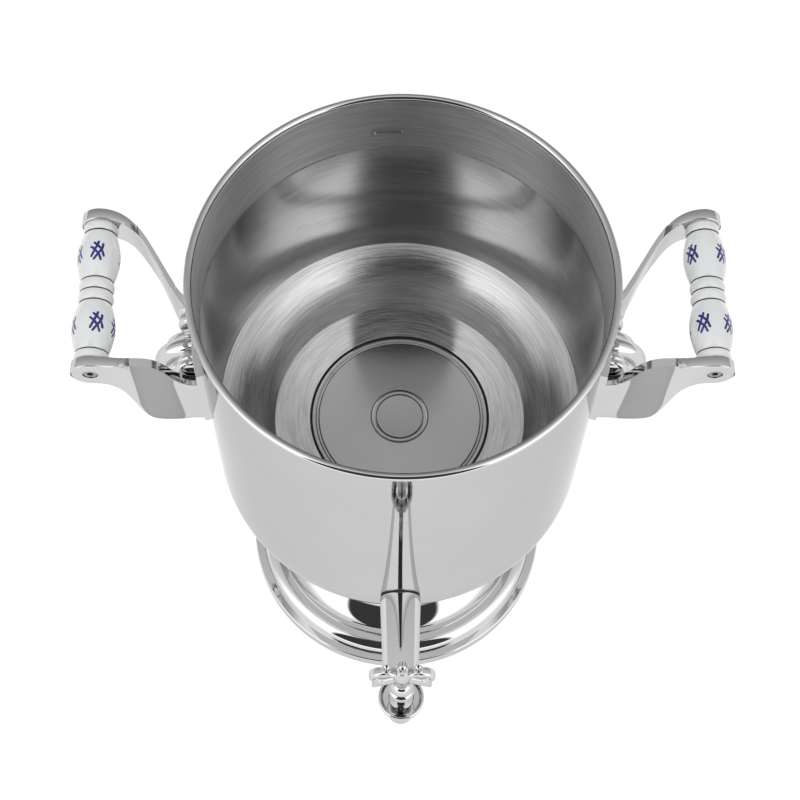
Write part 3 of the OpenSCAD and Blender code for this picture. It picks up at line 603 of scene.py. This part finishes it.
def arm():
    """One arm at +X +Y, a flat strip with softened edges, a little thinner where it swings out."""
    shape = bmesh.new()
    bmesh.ops.create_grid(shape, x_segments=90, y_segments=8, size=0.5)
    grown = bmesh.ops.extrude_face_region(shape, geom=shape.faces[:])
    inside = [part for part in grown["geom"] if isinstance(part, bmesh.types.BMVert)]
    bmesh.ops.translate(shape, verts=inside, vec=(0, 0, ARM_T))
    # So far x and y are shares of the arm's length and height, and z is the depth.
    for vertex in shape.verts:
        vertex.co = arm_place(vertex.co.x + 0.5, vertex.co.y + 0.5, vertex.co.z)
    bmesh.ops.remove_doubles(shape, verts=shape.verts, dist=0.01)
    bmesh.ops.recalc_face_normals(shape, faces=shape.faces)
    sharp = [edge for edge in shape.edges
             if len(edge.link_faces) == 2 and edge.calc_face_angle() > 1]
    bmesh.ops.bevel(shape, geom=sharp, offset=0.5, segments=3, affect="EDGES",
                    profile=0.5, material=-1)
    return shape


def flipped(shape, axis):
    """The mirror image across X or Y, with its faces turned out again."""
    bmesh.ops.scale(shape, verts=shape.verts, vec=(-1, 1, 1) if axis == "X" else (1, -1, 1))
    bmesh.ops.reverse_faces(shape, faces=shape.faces)
    return shape


def drilled(shape, place, radius, depth):
    """Cuts a round recess into a closed shape at that place, along Y."""
    drill = bmesh.new()
    bmesh.ops.create_cone(drill, cap_ends=True, segments=48, radius1=radius, radius2=radius,
                          depth=2 * depth)
    moved(laid(drill), *place)
    pair = []
    for part in (shape, drill):
        mesh = bpy.data.meshes.new("drilled")
        part.to_mesh(mesh)
        pair.append(bpy.data.objects.new("drilled", mesh))
        scene.collection.objects.link(pair[-1])
    drill.free()
    cut = pair[0].modifiers.new("drill", "BOOLEAN")
    cut.operation = "DIFFERENCE"
    cut.solver = "EXACT"
    cut.object = pair[1]
    done = bpy.data.meshes.new_from_object(
        pair[0].evaluated_get(bpy.context.evaluated_depsgraph_get()))
    shape.clear()
    shape.from_mesh(done)
    for holder in pair:
        mesh = holder.data
        bpy.data.objects.remove(holder)
        bpy.data.meshes.remove(mesh)
    bpy.data.meshes.remove(done)
    return shape


handle_chrome = finish("handle_chrome", MIRROR, polished(0.66, 0.035))

SADDLE_IN, SADDLE_OUT, SADDLE_LOW, SADDLE_HIGH = 103.25, 106.8, 240, 293
SADDLE_HALF, SADDLE_R = 26, 105.2
SCREW_HOLE_R, SCREW_HOLE_DEPTH = 3.7, 3.8
saddle_turn = asin(SADDLE_HALF / SADDLE_R)

for side, place in SIDES:
    saddle = turned([(SADDLE_IN, SADDLE_LOW), (SADDLE_OUT, SADDLE_LOW, 0.7),
                     (SADDLE_OUT, SADDLE_HIGH, 0.7), (SADDLE_IN, SADDLE_HIGH)],
                    steps=48, sweep=2 * saddle_turn, start=-saddle_turn, segments=3)
    arms = [drilled(arm(), (GRIP_X, LUG_FACE, GRIP_Z), SCREW_HOLE_R, SCREW_HOLE_DEPTH)
            for _ in range(2)]
    frame_shape = joined([saddle, arms[0], flipped(arms[1], "Y")])
    if place < 0:
        flipped(frame_shape, "X")
    piece(frame_shape, "handle_frame_" + side + "_arms", handle_chrome,
          ["handle_frame_" + side])

screw_steel = finish("screw_steel", METAL, cast(0.3, 0.0, 0.3))
dress(screw_steel, "grip_screws", "housing_screws")
dress(plain_steel, "saddle_rivets", "grip_rod_left", "grip_rod_right")
fibre = finish("fibre", {}, tinted((0.74, 0.73, 0.7), 0.85, 500, 0.00008, 0.04))
dress(fibre, "grip_washers")


# ---- Handle bosses ----
# A ribbed ornament cast in one with each saddle: rounded beads side by side, the broadest in the
# middle, with two small ones at each end higher up. Its foot is level with the saddle's.

BOSS_X, BOSS_FOOT = 104.8, 240.2

for side, place in SIDES:
    beads = []
    for along, height, radius, half in (
            (0, 256, 24.5, 5), (7.6, 256, 19.3, 4), (-7.6, 256, 19.3, 4),
            (11.2, 277, 10.6, 2.5), (-11.2, 277, 10.6, 2.5),
            (16.1, 279.5, 11.2, 2.5), (-16.1, 279.5, 11.2, 2.5)):
        bead = moved(laid(turned(
            [(0, -half), (radius, -half, half - 0.01), (radius, half, half - 0.01), (0, half)],
            steps=72, sweep=pi, start=-pi / 2)), BOSS_X, along, height)
        bmesh.ops.bisect_plane(bead, geom=bead.verts[:] + bead.edges[:] + bead.faces[:],
                               plane_co=(0, 0, BOSS_FOOT), plane_no=(0, 0, -1), clear_outer=True)
        bmesh.ops.holes_fill(bead, edges=[edge for edge in bead.edges if edge.is_boundary])
        beads.append(bead)
    boss = joined(beads)
    if place < 0:
        flipped(boss, "X")
    piece(boss, "boss_" + side, handle_chrome, ["handle_boss_" + side])


# ---- Grips ----
# Turned white porcelain, glazed: two swellings between end collars and a pair of middle rings, with
# fine dark grooves between them and five hand-painted cobalt motifs round each swelling.

GRIP_BORE, GRIP_HALF, GROOVE_R = 3.3, 37, 7.5
GROOVES = (0, 6.1, 32.5)


def swelling(start, end, low, high, count):
    """Points of a rounded swelling between two places along the grip."""
    return [(low + (high - low) * sin(pi * step / count) ** 0.85,
             start + (end - start) * step / count) for step in range(count + 1)]


def grip_outline():
    """The grip's outline from one end to the other, the same on both sides of the middle."""
    half = [(GRIP_BORE, 0), (GROOVE_R, 0)] + swelling(0.25, 5.85, 7.9, 8.7, 10)
    half += [(GROOVE_R, 6.1)] + swelling(6.35, 32.25, 7.9, 10.5, 24) + [(GROOVE_R, 32.5)]
    half += [(8, 32.75), (8.5, 34, 0.6), (8.3, GRIP_HALF, 0.5), (GRIP_BORE, GRIP_HALF)]
    mirrored = [(corner[0], -corner[1]) + tuple(corner[2:]) for corner in half[:1:-1]]
    return mirrored + half[1:]


def nearer(first, second):
    """The smaller of two signed angles."""
    return first + (second - first) * first.maths("LESS_THAN", abs(second), abs(first))


def nearest(turn, places):
    """The signed angle from the nearest of some places round an axis, in degrees."""
    return reduce(nearer, (turn.maths("WRAP", turn - place, 180, -180) for place in places))


# The four brush strokes of a motif, as points round and along the grip from its middle.
STROKES = (
    ((-1.9, 3.9), (-0.3, 2.6), (1.2, 1.0), (2.0, -0.4), (2.9, -3.0)),
    ((-3.3, 1.5), (-1.5, 0.0), (-0.3, -1.5), (0.6, -2.7), (1.5, -5.0)),
    ((0.1, 4.6), (-0.4, 2.6), (-1.3, 0.7), (-2.0, -1.0), (-3.1, -3.5)),
    ((2.4, 3.4), (2.0, 1.0), (1.0, -0.8), (-0.1, -2.4), (-1.8, -4.9)),
)
SWELLING_Y, SWELLING_R = 19.3, 10.4


def from_strokes(turn, along, waver, turns):
    """The square of the distance from each straight bit of the strokes, in millimetres."""
    for middle, places in zip((SWELLING_Y, -SWELLING_Y), turns):
        offset = nearest(turn, places) * (pi / 180 * SWELLING_R) + waver * 0.5
        height = along - middle + waver * 0.5
        for stroke in STROKES:
            for (x0, y0), (x1, y1) in zip(stroke, stroke[1:]):
                dx, dy = x1 - x0, y1 - y0
                long = dx * dx + dy * dy
                share = (offset - x0) * (dx / long) + (height - y0) * (dy / long)
                share = share.most(0).least(1)
                off_x, off_y = offset - x0 - share * dx, height - y0 - share * dy
                yield off_x * off_x + off_y * off_y


def painted(place_x, turns):
    """White glaze, grooves and crossed cobalt strokes, at their places round the grip's axis."""
    def glaze(place):
        x, y, z = place.axes()
        across, up = (x - place_x) * 1000, (z - GRIP_Z / 1000) * 1000
        along = y * 1000
        turn = across.maths("ARCTAN2", across, up) * (180 / pi)
        waver = place.noise(420, 2) - 0.5
        ink = reduce(Value.least, from_strokes(turn, along, waver, turns))
        paint = (ink ** 0.5).rise(0.74, 0.52)
        groove = reduce(Value.least, (abs(abs(along) - at) for at in GROOVES))
        dark = groove.rise(0.42, 0.25)
        tone = place.noise(60, 2).rise(0.3, 0.7).between(
            (0.76, 0.77, 0.78, 1), (0.80, 0.805, 0.81, 1))
        wash = place.noise(900, 2).rise(0.3, 0.75).between(
            (0.004, 0.006, 0.11, 1), (0.014, 0.026, 0.25, 1))
        blue = paint.between(tone, wash)
        return {
            "Base Color": dark.between(blue, (0.035, 0.035, 0.04, 1)),
            "Roughness": place.noise(120, 2) * 0.05 + dark * 0.25 + 0.09,
        }
    return glaze


# Where the motifs stand round each grip, in degrees from its top: on its rear and its front half.
MOTIFS = {
    "right": ((-47, 43, 112, 178, -112), (-30, 46, 118, -170, -100)),
    "left": ((6, -59, -128, 166, 100), (18, -62, 83, 150, -130)),
}

for side, place in SIDES:
    porcelain = finish("porcelain_" + side, {"Coat Weight": 0.6, "Coat Roughness": 0.04},
                       painted(place * GRIP_X / 1000, MOTIFS[side]))
    grip = laid(turned(grip_outline(), steps=96, segments=4))
    piece(moved(grip, place * GRIP_X, 0, GRIP_Z), "porcelain_grip_" + side, porcelain,
          ["grip_" + side], crease=50)


# ---- Pedestal ----
# The foot: sheet steel spun to a bright trumpet shape with a round bead and a low skirt, held up to
# the bowl over a round collar by one long tie rod. A plate and a rubber ring close it below.

foot_chrome = finish("foot_chrome", MIRROR, polished(0.67, 0.025))

WAIST_R, FLARE_R, FLARE_LOW, FLARE_HIGH, FOOT_TOP = 43, 77.5, 19.5, 100, 101

flare = [(FLARE_R - (FLARE_R - WAIST_R) * sin(radians(turn)),
          FLARE_HIGH - (FLARE_HIGH - FLARE_LOW) * cos(radians(turn))) for turn in range(0, 91, 3)]
outside = [(TIE_HOLE_R, FOOT_TOP), (WAIST_R, FOOT_TOP)] + flare[::-1] + [
    (FLARE_R, 17.5, 0.4), (88, 17.5, 7.2), (88, 10, 0.4), (92.9, 9.8, 0.9), (92.9, 1.5)]
under = [(91.9, 1.5), (91.9, 8.9, 0.4), (87, 8.9), (87, 16.5, 6.2), (FLARE_R - 1, 16.5)]
under += [(radius - 1, height - 1) for radius, height in flare] + [(TIE_HOLE_R, 99)]
pedestal = turned(outside + under, steps=288, segments=12)
piece(pedestal, "pedestal", foot_chrome, ["base_pedestal"])

neck = turned([(TIE_HOLE_R, FOOT_TOP), (46.4, FOOT_TOP, 3.1), (46.4, CASING_FOOT, 3.1),
               (TIE_HOLE_R, CASING_FOOT)], steps=192)
piece(neck, "neck", foot_chrome, ["neck_collar"])

plate_paint = finish("plate_paint", {}, tinted((0.03, 0.03, 0.032), 0.5))
dress(plate_paint, "base_plate")
dress(black_rubber, "foot_ring")
dress(plain_steel, "tie_rod", "tie_nuts", "tie_washer")


# ---- Rear panel ----
# A black moulding on the back of the bowl carries the appliance inlet with its three pins and a red
# rocker switch. Two screws with nuts inside the casing hold it.

panel_plastic = finish("panel_plastic", {}, tinted((0.03, 0.03, 0.033), 0.42, 600, 0.00005))
inlet_plastic = finish("inlet_plastic", {}, tinted((0.022, 0.022, 0.024), 0.3))
rocker_red = finish("rocker_red", {"Coat Weight": 0.3},
                    tinted((0.36, 0.022, 0.016), 0.22, spread=0.06))
pin_metal = finish("pin_metal", METAL, cast(0.62, 0.03, 0.25))
dress(panel_plastic, "rear_housing")
dress(inlet_plastic, "power_inlet", "switch_body")
dress(rocker_red, "rocker")
dress(pin_metal, "inlet_pins")
dress(plain_steel, "housing_nuts")


# ---- Table, light and camera ----
# The urn stands on a white table in a white tent, with two soft lamps at its sides. A dark card
# stands where the operator would, so that bright metal has something to show.

def rays(tree):
    """Whether a ray comes straight from the camera, and whether from it, a mirror or a lens."""
    straight = Value(tree).node("LightPath", out="Is Camera Ray")
    return straight, straight.most(straight.beside("Is Glossy Ray")).most(
        straight.beside("Is Transmission Ray"))


table = bmesh.new()
bmesh.ops.create_circle(table, cap_ends=True, segments=96, radius=6)
table_mesh = bpy.data.meshes.new("table")
table.to_mesh(table_mesh)
table.free()
top = bpy.data.objects.new("table", table_mesh)
scene.collection.objects.link(top)
table_white = bpy.data.materials.new("table_white")
table_white.use_nodes = True
tree = table_white.node_tree
tree.nodes.clear()
_, seen = rays(tree)
matt = seen.node("BsdfDiffuse", inputs={"Color": (0.8, 0.8, 0.8, 1)})
faint = seen.node("BsdfDiffuse", inputs={"Color": (0.08, 0.08, 0.08, 1)})
glow = seen.node("Emission", inputs={"Color": (1, 1, 1, 1), "Strength": 0.96})
lit = seen.node("AddShader", inputs={0: faint, 1: glow})
mixed = seen.node("MixShader", inputs={0: seen, 1: matt, 2: lit})
out = tree.nodes.new("ShaderNodeOutputMaterial")
tree.links.new(mixed.socket, out.inputs["Surface"])
table_mesh.materials.append(table_white)

world = bpy.data.worlds.new("tent")
scene.world = world
world.use_nodes = True
tree = world.node_tree
tree.nodes.clear()
straight, seen = rays(tree)
# How bright the tent is in each direction. It is brightest to the front. The card reaches up to
# 38 degrees to either side of the front and nearly to the zenith.
east, north, up = Value(tree).node("TexCoord", out="Generated").axes()
aside = abs(east + north * -0.08)
turn = aside.maths("ARCTAN2", aside, north * -1) * (180 / pi)
card = turn.rise(38, 34) * up.rise(0.1, 0.2) * up.rise(0.995, 0.982)
front = north.rise(0.02, -0.3) * up.rise(0.98, 0.9)
sky = front * 0.75 + north.rise(0.85, -0.1) * 0.55 + 0.3
shown = (sky * (1 - card) + card * 0.05) * (1 - straight) + straight
fill = seen.node("Background", inputs={"Color": (1, 1, 1, 1), "Strength": 0.72})
back = seen.node("Background", inputs={"Color": (1, 1, 1, 1), "Strength": shown})
mixed = seen.node("MixShader", inputs={0: seen, 1: fill, 2: back})
out = tree.nodes.new("ShaderNodeOutputWorld")
tree.links.new(mixed.socket, out.inputs["Surface"])

for name, spot, power in (("lamp_left", (-1.3, -0.5, 1.5), 7), ("lamp_right", (1.3, -0.3, 1.5), 5)):
    lamp = bpy.data.lights.new(name, "AREA")
    lamp.shape = "RECTANGLE"
    lamp.size, lamp.size_y = 0.9, 1.3
    lamp.energy = power
    holder = bpy.data.objects.new(name, lamp)
    holder.location = spot
    aim = Vector((0, 0, 0.22)) - Vector(spot)
    holder.rotation_euler = aim.to_track_quat("-Z", "Y").to_euler()
    holder.visible_glossy = False
    scene.collection.objects.link(holder)

# The camera's turns in radians: where it heads, how far it looks up from straight down, its roll.
HEADING, PITCH, ROLL = -0.0293, radians(24.63), 0.0264

eye = bpy.data.cameras.new("eye")
eye.sensor_width = 36
eye.lens = 76.5
eye.clip_start = 0.01
camera = bpy.data.objects.new("eye", eye)
camera.matrix_world = (
    Matrix.Translation((-0.01149, -0.39196, 1.0637)) @ Matrix.Rotation(HEADING, 4, "Z")
    @ Matrix.Rotation(PITCH, 4, "X") @ Matrix.Rotation(ROLL, 4, "Z"))
scene.collection.objects.link(camera)
scene.camera = camera

scene.view_settings.view_transform = "Standard"
